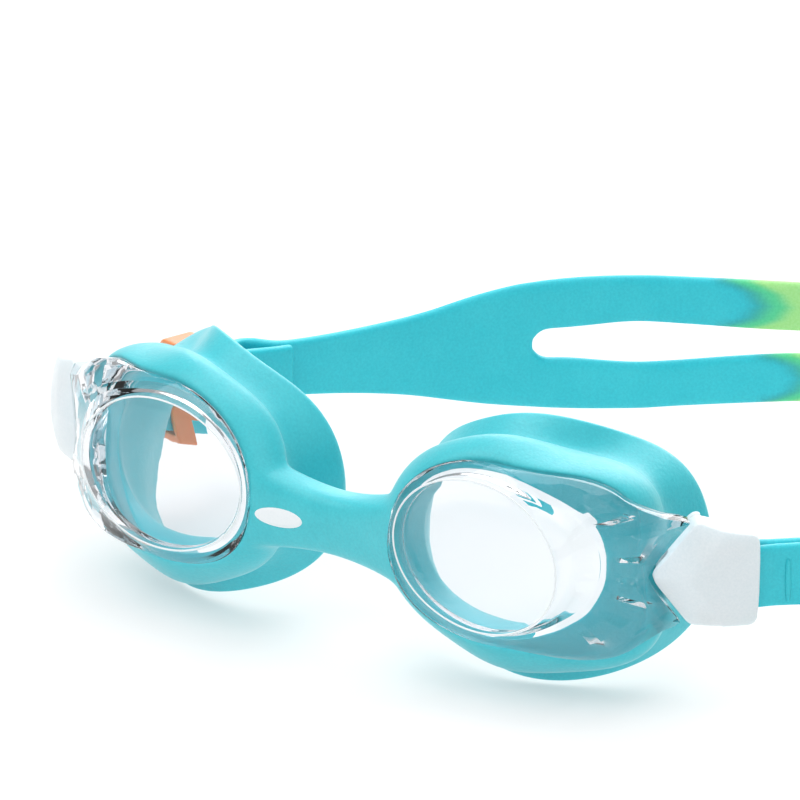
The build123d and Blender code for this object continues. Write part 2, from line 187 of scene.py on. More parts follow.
def clear_plastic(name):
    """Polished polycarbonate that lets lamp light through."""
    material, nodes, links, shader, coordinates = new_material(name)
    shader.inputs["Transmission Weight"].default_value = 1.0
    shader.inputs["IOR"].default_value = 1.46
    shader.inputs["Base Color"].default_value = LENS_TINT
    polish = spread(nodes, links, noise(nodes, links, coordinates, POLISH_SCALE), 0.0, 0.03)
    links.new(polish, shader.inputs["Roughness"])
    add_bump(nodes, links, shader, noise(nodes, links, coordinates, WAVE_SCALE, 2.0), 0.00003)
    path = nodes.new("ShaderNodeLightPath")
    see_through = nodes.new("ShaderNodeBsdfTransparent")
    see_through.inputs["Color"].default_value = LAMP_LIGHT_THROUGH_LENS
    choice = nodes.new("ShaderNodeMixShader")
    links.new(path.outputs["Is Shadow Ray"], choice.inputs["Fac"])
    links.new(shader.outputs["BSDF"], choice.inputs[1])
    links.new(see_through.outputs["BSDF"], choice.inputs[2])
    links.new(choice.outputs["Shader"], nodes["Material Output"].inputs["Surface"])
    return material


def strap_silicone(name):
    """Strap silicone: turquoise, turning light green round the back of the head."""
    material, nodes, links, shader, coordinates = new_material(name)
    cloud = spread(nodes, links, noise(nodes, links, coordinates, STRAP_CLOUD_SCALE), 0.0, 0.6)
    blue = mix_colour(nodes, links, cloud, STRAP_BLUE, STRAP_BLUE_PALE)
    green_share = nodes.new("ShaderNodeAttribute")
    green_share.attribute_name = "green"
    ramp = nodes.new("ShaderNodeValToRGB")
    ramp.color_ramp.interpolation = "EASE"
    first, second = ramp.color_ramp.elements
    first.color, first.position = BLACK, 0.0
    second.color, second.position = GREEN_EDGE, 0.5
    ramp.color_ramp.elements.new(0.8).color = GREEN_PALE
    links.new(green_share.outputs["Fac"], ramp.inputs["Fac"])
    take = nodes.new("ShaderNodeMapRange")
    take.interpolation_type = "SMOOTHSTEP"
    take.inputs["From Min"].default_value = 0.0
    take.inputs["From Max"].default_value = 0.55
    links.new(green_share.outputs["Fac"], take.inputs["Value"])
    colour = mix_colour(nodes, links, take.outputs["Result"], blue, ramp.outputs["Color"])
    add_specks(nodes, links, shader, coordinates, colour, 0.14)
    sheen_noise = noise(nodes, links, coordinates, STRAP_SHEEN_SCALE, 4.0)
    links.new(spread(nodes, links, sheen_noise, 0.4, 0.52), shader.inputs["Roughness"])
    grain = noise(nodes, links, coordinates, STRAP_GRAIN_SCALE, 5.0)
    add_bump(nodes, links, shader, grain, 0.00005)
    shader.inputs["Subsurface Weight"].default_value = 0.2
    shader.inputs["Subsurface Radius"].default_value = (0.8, 1.0, 1.0)
    shader.inputs["Subsurface Scale"].default_value = 0.001
    shader.inputs["Specular IOR Level"].default_value = 0.5
    return material


def pale_floor(name):
    """A matt floor that glows a little, so that it stays as pale as the photo's."""
    material, nodes, links, shader, coordinates = new_material(name)
    cloud = spread(nodes, links, noise(nodes, links, coordinates, FLOOR_CLOUD_SCALE), 0.0, 1.0)
    colour = mix_colour(nodes, links, cloud, FLOOR_GREY, FLOOR_GREY_PALE)
    links.new(colour, shader.inputs["Base Color"])
    shader.inputs["Roughness"].default_value = 0.8
    shader.inputs["Specular IOR Level"].default_value = 0.1
    shader.inputs["Emission Color"].default_value = WHITE
    shader.inputs["Emission Strength"].default_value = 0.42
    return material


frame_silicone = moulded("frame_silicone", TURQUOISE, TURQUOISE_PALE, 0.44, 0.25, 1500, 0.00006)
band_silicone = strap_silicone("band_silicone")
clear_lens = clear_plastic("clear_lens")
white_plastic = moulded("white_plastic", CLIP_WHITE, CLIP_BRIGHT, 0.36, 0.5, 1100, 0.00003)
orange_plastic = moulded("orange_plastic", ORANGE, ORANGE_PALE, 0.42, 0.4, 1200, 0.00004)
# White for the printed bridge mark, also used for the painted highlight round each window
mark_ink_and_painted_highlight = moulded("mark_ink_and_painted_highlight", MARK_AND_HIGHLIGHT_WHITE, CLIP_BRIGHT, 0.5, 0.0, 1800, 0.00002)

# ---------------------------------------------------------------- mesh helpers


def make_piece(name, points, faces, material, body, mirror=False):
    """A mesh from points in the goggles' coordinates, riding on a body."""
    if mirror:
        points = [(-x, y, z) for x, y, z in points]
        faces = [tuple(reversed(face)) for face in faces]
    mesh = bpy.data.meshes.new(name)
    mesh.from_pydata([world(point) for point in points], [], faces)
    mesh.validate()
    shell = bmesh.new()
    shell.from_mesh(mesh)
    bmesh.ops.recalc_face_normals(shell, faces=shell.faces)
    shell.to_mesh(mesh)
    shell.free()
    piece = bpy.data.objects.new(name, mesh)
    bpy.context.scene.collection.objects.link(piece)
    mesh.materials.append(material)
    mesh.shade_smooth()
    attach(piece, body)
    return piece


def subdivide(piece, levels):
    """Rounds a coarse mesh."""
    modifier = piece.modifiers.new("round", "SUBSURF")
    modifier.levels = levels
    modifier.render_levels = levels


def crease_edges(piece, chosen, sharpness):
    """Sharpens the subdivision along chosen vertex pairs."""
    mesh = piece.data
    layer = mesh.attributes.new("crease_edge", "FLOAT", "EDGE")
    wanted = {frozenset(pair) for pair in chosen}
    for edge in mesh.edges:
        if frozenset(edge.vertices) in wanted:
            layer.data[edge.index].value = sharpness


def periodic(angles, values, wanted):
    """Smooth closed curve through values at given degrees, read at the wanted degrees."""
    count = len(angles)
    steps = np.array([(angles[(i + 1) % count] - angles[i]) % 360 for i in range(count)], float)
    values = np.array(values, float)
    system = np.zeros((count, count))
    right = np.zeros(count)
    for i in range(count):
        before, after = steps[i - 1], steps[i]
        system[i, i - 1] += before
        system[i, i] += 2 * (before + after)
        system[i, (i + 1) % count] += after
        rise_after = (values[(i + 1) % count] - values[i]) / after
        rise_before = (values[i] - values[i - 1]) / before
        right[i] = 6 * (rise_after - rise_before)
    bend = np.linalg.solve(system, right)
    read = []
    for angle in wanted:
        i = max(j for j in range(count) if angles[j] <= angle % 360)
        k = (i + 1) % count
        width = steps[i]
        t = (angle % 360) - angles[i]
        u = width - t
        value = (bend[i] * u**3 + bend[k] * t**3) / (6 * width)
        value += (values[i] / width - bend[i] * width / 6) * u
        value += (values[k] / width - bend[k] * width / 6) * t
        read.append(value)
    return np.array(read)


# ---------------------------------------------------------------- silicone frame

CUP_X, CUP_Z = 32.0, -1.5
CLOCK = [30 * i for i in range(12)]
# Radius and depth round each eye cup, from the temple over the top, nose and cheek
JUNCTION_R = [20.4, 22.7, 18.3, 16.4, 16.9, 18.0, 18.3, 17.3, 14.9, 13.9, 16.6, 23.4]
JUNCTION_D = [13.6, 13.0, 6.6, 3.9, 2.7, 1.6, 0.6, 1.2, 2.0, 2.6, 5.6, 13.6]
RIDGE_R = [20.8, 22.3, 18.4, 19.2, 19.7, 21.8, 21.9, 21.3, 19.4, 20.1, 22.1, 25.6]
RIDGE_D = [21.0, 20.8, 17.2, 10.2, 8.3, 7.9, 6.0, 7.2, 7.8, 8.4, 13.0, 18.0]
FLANGE_R = [21.2, 20.2, 18.5, 20.7, 21.1, 23.1, 24.7, 25.1, 22.7, 22.5, 24.6, 25.2]
FLANGE_D = [33.6, 32.6, 27.8, 17.6, 14.7, 17.2, 18.0, 16.4, 12.8, 12.0, 18.6, 29.2]
INNER_R = [15.6, 15.8, 14.9, 14.4, 15.1, 16.1, 16.3, 15.1, 12.6, 11.6, 12.6, 14.6]
INNER_D = [11.4, 10.8, 8.8, 8.1, 8.0, 8.0, 8.0, 8.0, 8.0, 8.1, 8.8, 10.8]
COLLAR_R = [15.5, 15.3, 14.6, 14.3, 15.2, 16.1, 16.3, 15.0, 12.5, 11.4, 12.3, 14.4]
COLLAR_D = [11.0, 9.6, 5.0, 3.3, 2.9, 2.6, 2.4, 2.5, 2.8, 3.1, 4.0, 8.8]

COLUMNS = 48
TURN = 360 / COLUMNS
column_angles = [TURN * i for i in range(COLUMNS)]


def ring_pair(radii, depths):
    """A ring's radius and depth at every column."""
    return periodic(CLOCK, radii, column_angles), periodic(CLOCK, depths, column_angles)


junction = ring_pair(JUNCTION_R, JUNCTION_D)
ridge = ring_pair(RIDGE_R, RIDGE_D)
flange = ring_pair(FLANGE_R, FLANGE_D)
inner = ring_pair(INNER_R, INNER_D)
collar = ring_pair(COLLAR_R, COLLAR_D)


def between(first, second, share, out=0.0, back=0.0):
    """A ring part way between two others, moved outward and back."""
    radius = first[0] + (second[0] - first[0]) * share + out
    depth = first[1] + (second[1] - first[1]) * share + back
    return radius, depth


LIP = 1.3
# From the lens edge over the ridge and the groove to the seal's lip, then back inside
cup_rings = [
    between(junction, ridge, 0.0, -0.5, 0.6),
    between(junction, ridge, 0.0, 0.05, 0.0),
    between(junction, ridge, 0.05, 0.75, -0.15),
    between(junction, ridge, 0.38, 1.15, -0.55),
    between(junction, ridge, 0.74, 1.0, -0.55),
    between(junction, ridge, 0.95, 0.25, -0.25),
    between(junction, ridge, 1.0, -0.1, 0.35),
    between(ridge, flange, 0.06, -1.5, 0.35),
    between(ridge, flange, 0.3, -1.8, 0.4),
    between(ridge, flange, 0.66, -0.65, 0.2),
    between(ridge, flange, 0.9, -0.15, -0.1),
    between(ridge, flange, 1.0, 0.0, -0.3),
    between(ridge, flange, 1.0, -0.25, 0.55),
    between(ridge, flange, 1.0, -LIP, 0.45),
    between(ridge, flange, 0.8, -LIP - 0.9, 0.0),
    between(inner, flange, 0.5, -0.6, 0.3),
    between(inner, ridge, 0.3, -0.3, 0.6),
    between(inner, ridge, 0.0, 0.0, 0.4),
    between(collar, inner, 0.5, 0.0, 0.0),
    between(collar, junction, 0.0, 0.0, 0.15),
    between(collar, junction, 0.08, 0.0, 0.05),
    between(collar, junction, 0.5, 0.0, 0.2),
]
# Rings and columns that leave room for the bridge
BODY_FIRST, BODY_LAST = 2, 5
HOLE_FIRST, HOLE_LAST = 22, 27

cup_points = []
for radii, depths in cup_rings:
    for angle, radius, depth in zip(column_angles, radii, depths):
        x = CUP_X + radius * cos(radians(angle))
        z = CUP_Z + radius * sin(radians(angle))
        cup_points.append((x, depth, z))
ring_count = len(cup_rings)


def cup_index(ring, column):
    """Number of a cup point, with both counts going round."""
    return (ring % ring_count) * COLUMNS + column % COLUMNS


cup_faces = []
for ring in range(ring_count):
    for column in range(COLUMNS):
        in_hole = BODY_FIRST <= ring < BODY_LAST and HOLE_FIRST <= column < HOLE_LAST
        if not in_hole:
            here = [cup_index(ring, column), cup_index(ring, column + 1)]
            beyond = [cup_index(ring + 1, column + 1), cup_index(ring + 1, column)]
            cup_faces.append(tuple(here + beyond))

# The bridge joins the gap in one cup's front body to the gap in the other's
span = range(HOLE_FIRST, HOLE_LAST + 1)
hole = [cup_index(BODY_FIRST, column) for column in span]
hole += [cup_index(ring, HOLE_LAST) for ring in range(BODY_FIRST + 1, BODY_LAST)]
hole += [cup_index(BODY_LAST, column) for column in reversed(span)]
hole += [cup_index(ring, HOLE_FIRST) for ring in range(BODY_LAST - 1, BODY_FIRST, -1)]

BRIDGE_TOP, BRIDGE_BOTTOM = 2.0, -8.1
BRIDGE_FACE, BRIDGE_CROWN, BRIDGE_BACK = 2.2, 0.9, 7.4
# Depths between the bridge's face and back, each with how far its edge stands out there
BRIDGE_EDGES = [(4.3, 0.05), (6.0, 0.1)]
BRIDGE_EASE = 0.5
BRIDGE_STATIONS = (0.8, 0.58, 0.36, 0.16, 0.0, -0.16, -0.36, -0.58, -0.8)
BRIDGE_FLARE = 1.9
RIDGE_CREASE = 0.8
middle = []
steps = HOLE_LAST - HOLE_FIRST
for step in range(steps + 1):
    share = step / steps
    edge = abs(2 * share - 1)
    height = BRIDGE_TOP - BRIDGE_EASE + (BRIDGE_BOTTOM - BRIDGE_TOP + 2 * BRIDGE_EASE) * share
    middle.append((BRIDGE_FACE + BRIDGE_CROWN * edge**3, height))
middle += [(depth, BRIDGE_BOTTOM - out) for depth, out in BRIDGE_EDGES]
for step in range(steps + 1):
    share = 1 - step / steps
    middle.append((BRIDGE_BACK, BRIDGE_TOP + (BRIDGE_BOTTOM - BRIDGE_TOP) * share))
middle += [(depth, BRIDGE_TOP + out) for depth, out in reversed(BRIDGE_EDGES)]

frame_points = cup_points + [(-x, y, z) for x, y, z in cup_points]
other = len(cup_points)
frame_faces = cup_faces + [tuple(other + index for index in reversed(face)) for face in cup_faces]
loops = [hole]
for station in BRIDGE_STATIONS:
    flare = abs(station) ** BRIDGE_FLARE
    loop = []
    for index, (depth, height) in zip(hole, middle):
        x, y, z = cup_points[index]
        loop.append(len(frame_points))
        y, z = depth + (y - depth) * flare, height + (z - height) * flare
        frame_points.append((x * station, y, z))
    loops.append(loop)
loops.append([other + index for index in hole])
for first, second in zip(loops, loops[1:]):
    for i in range(len(hole)):
        k = (i + 1) % len(hole)
        frame_faces.append((first[i], first[k], second[k], second[i]))

frame_skin = make_piece(
    "frame_skin", frame_points, frame_faces, frame_silicone, "goggles"
)
# The ridge's back edge stays crisp, and runs on along the bridge's back
sharp = []
for start in (0, other):
    for column in range(COLUMNS):
        if not HOLE_FIRST <= column < HOLE_LAST:
            here, beyond = cup_index(BODY_LAST, column), cup_index(BODY_LAST, column + 1)
            sharp.append((start + here, start + beyond))
back_top = hole.index(cup_index(BODY_LAST, HOLE_FIRST))
back_bottom = hole.index(cup_index(BODY_LAST, HOLE_LAST))
for first, second in zip(loops, loops[1:]):
    sharp.append((first[back_top], second[back_top]))
    sharp.append((first[back_bottom], second[back_bottom]))
crease_edges(frame_skin, sharp, RIDGE_CREASE)
subdivide(frame_skin, 2)
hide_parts("frame")

# ---------------------------------------------------------------- lenses

LENS_X = 31.3
# Each oval's reach to the nose, reach to the temple, and half height
WINDOW = (16.3, 15.3, 12.7)
BEVEL = (17.7, 17.2, 15.2)
SKIRT = (16.9, 16.2, 14.1)
SKIRT_BORE = (15.3, 14.7, 12.6)
SKIRT_D = [9.4, 8.0, 3.9, 2.9, 2.6, 2.3, 2.1, 2.2, 2.5, 2.8, 3.4, 7.2]
WINDOW_BACK, BORE_STEP = 1.8, 0.5
BEVEL_SHALLOW, BEVEL_DEEP, BEVEL_STEP = 0.7, 2.6, 0.2
# The clear arm turns from the lens towards the clip between these angles from the temple
ARM_FULL, ARM_START = 30, 78
ARM_WIDENING, ARM_STEP, ARM_WALL = 2.7, 1.1, 3.0
EDGE_STEP = 0.5
# Shares of the arm's width with a rounded shoulder, and how far each stands out
ARM_SHOULDERS = ((0.4, 0.5), (0.8, 0.75))
STEPS_FROM, STEP_COLUMNS = 0.9, 3
CLIP_ALONG = (cos(radians(43.6)), sin(radians(43.6)))
CLIP_OUT = (CLIP_ALONG[1], -CLIP_ALONG[0])
CLIP_NOSE = (54.4, 14.25)
NOSE_Z = -1.6
NOTCH_HALF_ANGLE, NOTCH_ROUND = 20.0, 0.9
# How far back and up or down each side of the V round the clip's nose goes
NOTCH_UPPER, NOTCH_LOWER = (8.0, 9.3), (6.4, 8.4)
NOTCH_GAP, NOTCH_FADE = 0.4, 12
ARM_FRONT, ARM_REAR = 2.5, -0.6
LENS_EDGE_ROUND = 0.22

LENS_COLUMNS = 96
lens_angles = [360 / LENS_COLUMNS * i for i in range(LENS_COLUMNS)]


def lens_oval(nasal, temple, half_height, angle):
    """A point on a lens oval, seen from the front."""
    c, s = cos(radians(angle)), sin(radians(angle))
    reach = temple if c > 0 else nasal
    return LENS_X + reach * c, half_height * s


def clip_point(along, out, height):
    """A point in a clip's own plane."""
    x = CLIP_NOSE[0] + along * CLIP_ALONG[0] + out * CLIP_OUT[0]
    y = CLIP_NOSE[1] + along * CLIP_ALONG[1] + out * CLIP_OUT[1]
    return (x, y, height)


edge_r = periodic(CLOCK, JUNCTION_R, lens_angles)
edge_d = periodic(CLOCK, JUNCTION_D, lens_angles)
skirt_d = periodic(CLOCK, SKIRT_D, lens_angles)


def held(value, low=0, high=1):
    """A value kept between two limits."""
    return min(max(value, low), high)


def eased(share):
    """A share from 0 to 1, with a soft start and a soft end."""
    return share * share * (3 - 2 * share)


def signed_angle(angle):
    """Degrees from the temple, above it positive."""
    return angle if angle < 180 else angle - 360


def arm_share(angle):
    """How far the lens edge has turned into the arm, from 0 round the nose to 1 at the clip."""
    away = abs(signed_angle(angle))
    return eased(held((ARM_START - away) / (ARM_START - ARM_FULL)))


def notch_edge(signed, out):
    """The arm's edge round the clip's nose."""
    share = signed / NOTCH_HALF_ANGLE
    reach, rise = NOTCH_UPPER if share > 0 else NOTCH_LOWER
    blunt = NOTCH_ROUND / reach
    along = reach * (sqrt(share**2 + blunt**2) - blunt) - NOTCH_GAP
    return clip_point(along, out, NOSE_Z + rise * share)


def mix_points(first, second, share):
    """A point part way between two others."""
    return tuple(a + (b - a) * share for a, b in zip(first, second))


def clip_shift(point, out):
    """A point moved outward, square to the clip."""
    return (point[0] + CLIP_OUT[0] * out, point[1] + CLIP_OUT[1] * out, point[2])


def shrunk(point, share):
    """A point of a window moved towards the window's middle."""
    return (LENS_X + (point[0] - LENS_X) * share, point[1], point[2] * share)


profiles = []
for column, angle in enumerate(lens_angles):
    share = arm_share(angle)
    signed = signed_angle(angle)
    radius, depth = edge_r[column], edge_d[column]
    x = CUP_X + radius * cos(radians(angle))
    z = CUP_Z + radius * sin(radians(angle))
    rear = (x, depth, z)
    front_edge = clip_shift((x, depth - EDGE_STEP * (1 - share), z), ARM_WALL * share)
    if abs(signed) < NOTCH_HALF_ANGLE + NOTCH_FADE:
        fade = max(abs(signed) - NOTCH_HALF_ANGLE, 0) / NOTCH_FADE
        nearest = held(signed, -NOTCH_HALF_ANGLE, NOTCH_HALF_ANGLE)
        front_edge = mix_points(notch_edge(nearest, ARM_FRONT), front_edge, fade)
        rear = mix_points(notch_edge(nearest, ARM_REAR), rear, fade)
    window_x, window_z = lens_oval(*WINDOW, angle)
    bevel_x, bevel_z = lens_oval(*BEVEL, angle)
    skirt_x, skirt_z = lens_oval(*SKIRT, angle)
    bore_x, bore_z = lens_oval(*SKIRT_BORE, angle)
    window_edge = (window_x, 0.0, window_z)
    bevel_point = (bevel_x, held(front_edge[1] - BEVEL_STEP, BEVEL_SHALLOW, BEVEL_DEEP), bevel_z)
    wide = ARM_WIDENING * share
    skirt_point = (skirt_x + wide, skirt_d[column], skirt_z)
    bore_back = (bore_x + wide, skirt_d[column] - BORE_STEP * share, bore_z)
    bore_front = (bore_x, WINDOW_BACK, bore_z)
    shoulders = []
    for part, stand in ARM_SHOULDERS:
        x, y, z = mix_points(bevel_point, front_edge, part)
        shoulders.append((x + stand * share, y - stand * share, z))
    # Steps in the arm's inner wall, for the clear ribs behind it
    is_step = share > STEPS_FROM and (column + 1) // STEP_COLUMNS % 2
    stepped = ARM_STEP if is_step else 0.0
    inner_edge = mix_points(rear, skirt_point, 0.12)
    profiles.append(
        [
            shrunk(window_edge, 0.5),
            shrunk(window_edge, 0.93),
            window_edge,
            mix_points(window_edge, bevel_point, 0.5),
            bevel_point,
            *shoulders,
            front_edge,
            mix_points(front_edge, rear, 0.5),
            rear,
            inner_edge,
            clip_shift(mix_points(inner_edge, skirt_point, 0.35), stepped),
            clip_shift(mix_points(inner_edge, skirt_point, 0.75), stepped),
            skirt_point,
            bore_back,
            mix_points(bore_back, bore_front, 0.5),
            bore_front,
            shrunk(bore_front, 0.5),
        ]
    )
rows = len(profiles[0])
lens_points = [profile[row] for row in range(rows) for profile in profiles]
lens_faces = []
for row in range(rows - 1):
    for column in range(LENS_COLUMNS):
        following = (column + 1) % LENS_COLUMNS
        this, after = row * LENS_COLUMNS, (row + 1) * LENS_COLUMNS
        lens_faces.append((this + column, this + following, after + following, after + column))
front_centre = len(lens_points)
lens_points += [(LENS_X, 0.0, 0.0), (LENS_X, WINDOW_BACK, 0.0)]
for column in range(LENS_COLUMNS):
    following = (column + 1) % LENS_COLUMNS
    last_row = (rows - 1) * LENS_COLUMNS
    lens_faces.append((front_centre, following, column))
    lens_faces.append((front_centre + 1, last_row + column, last_row + following))

for side, sign in SIDES:
    lens = make_piece(
        f"lens_{side}_clear", lens_points, lens_faces, clear_lens, "goggles", sign < 0
    )
    round_edges = lens.modifiers.new("edge", "BEVEL")
    round_edges.width = LENS_EDGE_ROUND * MM
    round_edges.segments = 2
    round_edges.angle_limit = radians(22)
    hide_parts(f"lens_{side}")

# A fine raised line round each flat window, in the white mark material: a painted highlight
# standing in for the light caught along the window's rim
EDGE_BEAD, EDGE_FLATNESS, EDGE_LIFT = 0.17, 0.6, 0.02
EDGE_AROUND = 8
highlight_bead_points, highlight_bead_faces = [], []
for column, angle in enumerate(lens_angles):
    x, z = lens_oval(*WINDOW, angle)
    outward = Vector((x - LENS_X, 0, z)).normalized()
    for k in range(EDGE_AROUND):
        around = 2 * pi * k / EDGE_AROUND
        swing = EDGE_BEAD * cos(around)
        front = -EDGE_LIFT - EDGE_BEAD * EDGE_FLATNESS * sin(around)
        highlight_bead_points.append((x + outward.x * swing, front, z + outward.z * swing))
for column in range(LENS_COLUMNS):
    following = (column + 1) % LENS_COLUMNS
    this, after = column * EDGE_AROUND, following * EDGE_AROUND
    for k in range(EDGE_AROUND):
        n = (k + 1) % EDGE_AROUND
        highlight_bead_faces.append((this + k, this + n, after + n, after + k))
for side, sign in SIDES:
    # The white lines round the windows are painted highlights
    make_piece(
        f"lens_{side}_edge", highlight_bead_points, highlight_bead_faces, mark_ink_and_painted_highlight, "goggles", sign < 0
    )

# ---------------------------------------------------------------- clips, bars and sliders

PILLOW_MIDDLE, PILLOW_FALL, PILLOW_FROM = 9.0, 0.3, 0.5
SHOULDER_BLEND = 12.0
# Slopes of the V's two sides in the CAD clip, and as they show
V_SOLID, V_SHOWN = (0.584, 0.554), (0.84, 0.74)
V_FALL, V_FLUSH, V_REACH = 0.8, 2.3, 6.0
# Voxel size, and smoothing passes for each kind of part
VOXEL = 0.24
COVER_PASSES, BACK_PASSES, SLIDER_PASSES = 14, 12, 8


def shift(vertex, direction, distance, side_sign):
    """Moves a vertex along a direction in the left clip's plane, mirrored on the right."""
    vertex.co.x += direction[0] * distance * side_sign * MM
    vertex.co.y += direction[1] * distance * MM


def pillow(mesh, side_sign):
    """Lowers a clip's dome towards its ends, and shapes the shoulders of its V."""
    for vertex in mesh.vertices:
        x, y, z = (vertex.co - ORIGIN) / MM
        x = x * side_sign - CLIP_NOSE[0]
        y = y - CLIP_NOSE[1]
        along = x * CLIP_ALONG[0] + y * CLIP_ALONG[1]
        out = x * CLIP_OUT[0] + y * CLIP_OUT[1]
        if out > PILLOW_FROM:
            share = min(abs(along - PILLOW_MIDDLE) / PILLOW_MIDDLE, 1.0)
            drop = (out - PILLOW_FROM) * PILLOW_FALL * share**3
            shift(vertex, CLIP_OUT, -drop, side_sign)
            out -= drop
        below = 0 if z > NOSE_Z else 1
        solid_edge = abs(z - NOSE_Z) * V_SOLID[below]
        shown_edge = abs(z - NOSE_Z) * V_SHOWN[below]
        share = held((SHOULDER_BLEND - along) / (SHOULDER_BLEND - solid_edge))
        slide = (shown_edge - solid_edge) * share
        shift(vertex, CLIP_ALONG, slide, side_sign)
        near_v = held(1 - (along + slide - shown_edge) / V_REACH)
        if out > V_FLUSH:
            drop = (out - V_FLUSH) * V_FALL * near_v**1.5
            shift(vertex, CLIP_OUT, -drop, side_sign)


def softened(source, name, material, body, passes):
    """A CAD solid's shape with its edges moulded round."""
    mesh = frame["nodes"][source].data.copy()
    mesh.name = name
    mesh.materials.clear()
    mesh.materials.append(material)
    piece = bpy.data.objects.new(name, mesh)
    bpy.context.scene.collection.objects.link(piece)
    remesh = piece.modifiers.new("remesh", "REMESH")
    remesh.mode = "VOXEL"
    remesh.voxel_size = VOXEL * MM
    smooth = piece.modifiers.new("soften", "SMOOTH")
    smooth.factor = 0.5
    smooth.iterations = passes
    evaluated = piece.evaluated_get(bpy.context.evaluated_depsgraph_get())
    final = bpy.data.meshes.new_from_object(evaluated)
    piece.modifiers.clear()
    piece.data = final
    final.shade_smooth()
    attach(piece, body)
    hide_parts(source)
    return piece


for side, sign in SIDES:
    for part, passes in (("cover", COVER_PASSES), ("back", BACK_PASSES)):
        source, name = f"clip_{part}_{side}", f"clip_{side}_{part}"
        clip = softened(source, name, white_plastic, "goggles", passes)
        pillow(clip.data, sign)
    ring_body = f"slider_{side}"
    softened(
        ring_body, f"{ring_body}_ring", orange_plastic, ring_body, SLIDER_PASSES
    )
    bar = frame["nodes"][f"strap_bar_{side}"]
    bar.data.materials.clear()
    bar.data.materials.append(white_plastic)

# ---------------------------------------------------------------- strap

BAR_S = 11.0
BAR_X = CLIP_NOSE[0] + BAR_S * CLIP_ALONG[0]
BAR_Y = CLIP_NOSE[1] + BAR_S * CLIP_ALONG[1]
THICKNESS = 1.7
LAYER_OFFSET = 1.05
LOOP_FRONT, LOOP_HALF_WIDTH, LOOP_CLOSED = -2.4, 2.35, 9.0
DOUBLED_LENGTH = 28.0
RIGHT_HEADING, LEFT_HEADING = 73.5, 49.0
LEFT_TAIL = [(12.0, 0)]
RIGHT_TAIL = [(4.0, -11), (8.0, 0)]
LEFT_HUMP = [(3.2, -42), (1.2, 0), (5.2, 84), (1.2, 0), (3.2, -42)]
RIGHT_HUMP = [(3.2, 38), (1.2, 0), (5.4, -92), (1.6, 0), (3.0, 38)]
RIGHT_BENDS = [(20.0, -5), (20.0, -6), (14.0, -8), (8.0, -3), (22.0, -3)]
BACK_RADIUS = 50.5
EDGE_HEADING = 64.0
EDGE_STATIONS = [-12, 7, 20, 41, 58, 74, 88, 104]
EDGE_TOPS = [2.4, 2.2, 1.7, 0.1, 1.3, 4.3, 5.6, 5.7]
EDGE_BOTTOMS = [-8.0, -8.2, -8.9, -9.6, -11.6, -15.0, -16.6, -16.6]
SLOT_TOP, SLOT_BOTTOM = -2.5, -8.5
SLOT_RIGHT, SLOT_LEFT = (-22.6, 95.6), (104.6, 89.5)
# Steps along the curves of the route, round the back of the head, and along the mesh
CURVE_STEP, BACK_STEPS = 0.5, 240
SPACING, FINE_SPACING, FINE_ZONE = 1.4, 0.8, 66


def heading_vector(heading):
    """The direction of a heading, in degrees from the wearer's left."""
    return np.array([cos(radians(heading)), sin(radians(heading))])


def beside_strap(side_sign, heading, along, outward):
    """A point beside a doubled strap: along it from its bar, and outward from its middle."""
    angle = radians(heading)
    x = side_sign * BAR_X + along * cos(angle) + side_sign * outward * sin(angle)
    y = BAR_Y + along * sin(angle) - side_sign * outward * cos(angle)
    return np.array([x, y])


def turned(vector, angle):
    """A vector turned by an angle in radians."""
    c, s = cos(angle), sin(angle)
    return np.array([vector[0] * c - vector[1] * s, vector[0] * s + vector[1] * c])


def fillet(corners, radii):
    """Points along a polyline with its inner corners rounded."""
    path = [corners[0]]
    for before, corner, after, radius in zip(corners, corners[1:], corners[2:], radii):
        arrive = (corner - before) / np.linalg.norm(corner - before)
        leave = (after - corner) / np.linalg.norm(after - corner)
        turn = atan2(arrive[0] * leave[1] - arrive[1] * leave[0], arrive @ leave)
        cut = radius * tan(abs(turn) / 2)
        normal = np.array([-arrive[1], arrive[0]]) * (1 if turn > 0 else -1)
        start = corner - arrive * cut
        centre = start + normal * radius
        count = max(3, int(abs(turn) * radius / CURVE_STEP))
        for i in range(count + 1):
            path.append(centre + turned(-normal * radius, turn * i / count))
    path.append(corners[-1])
    return path


def follow(point, direction, stretches):
    """Points along straight and curved stretches, each (length, turn), and the last direction."""
    path = []
    for length, turn in stretches:
        count = max(2, int(length / CURVE_STEP))
        half = radians(turn) / count / 2
        for _ in range(count):
            direction = turned(direction, half)
            point = point + direction * length / count
            path.append(point)
            direction = turned(direction, half)
    return path, direction


def loop_path(side_sign, heading):
    """The strap's way round one bar, from the tail's start to the end of the doubled part."""
    places_on_loop = [
        (DOUBLED_LENGTH, -LAYER_OFFSET),
        (LOOP_CLOSED, -LAYER_OFFSET),
        (LOOP_FRONT, -LOOP_HALF_WIDTH),
        (LOOP_FRONT, LOOP_HALF_WIDTH),
        (LOOP_CLOSED, LAYER_OFFSET),
        (DOUBLED_LENGTH, LAYER_OFFSET),
    ]
    corners = [beside_strap(side_sign, heading, *place) for place in places_on_loop]
    return fillet(corners, (12.0, 2.0, 2.0, 12.0))


def cross(first, second):
    """Cross product of two flat vectors."""
    return first[0] * second[1] - first[1] * second[0]


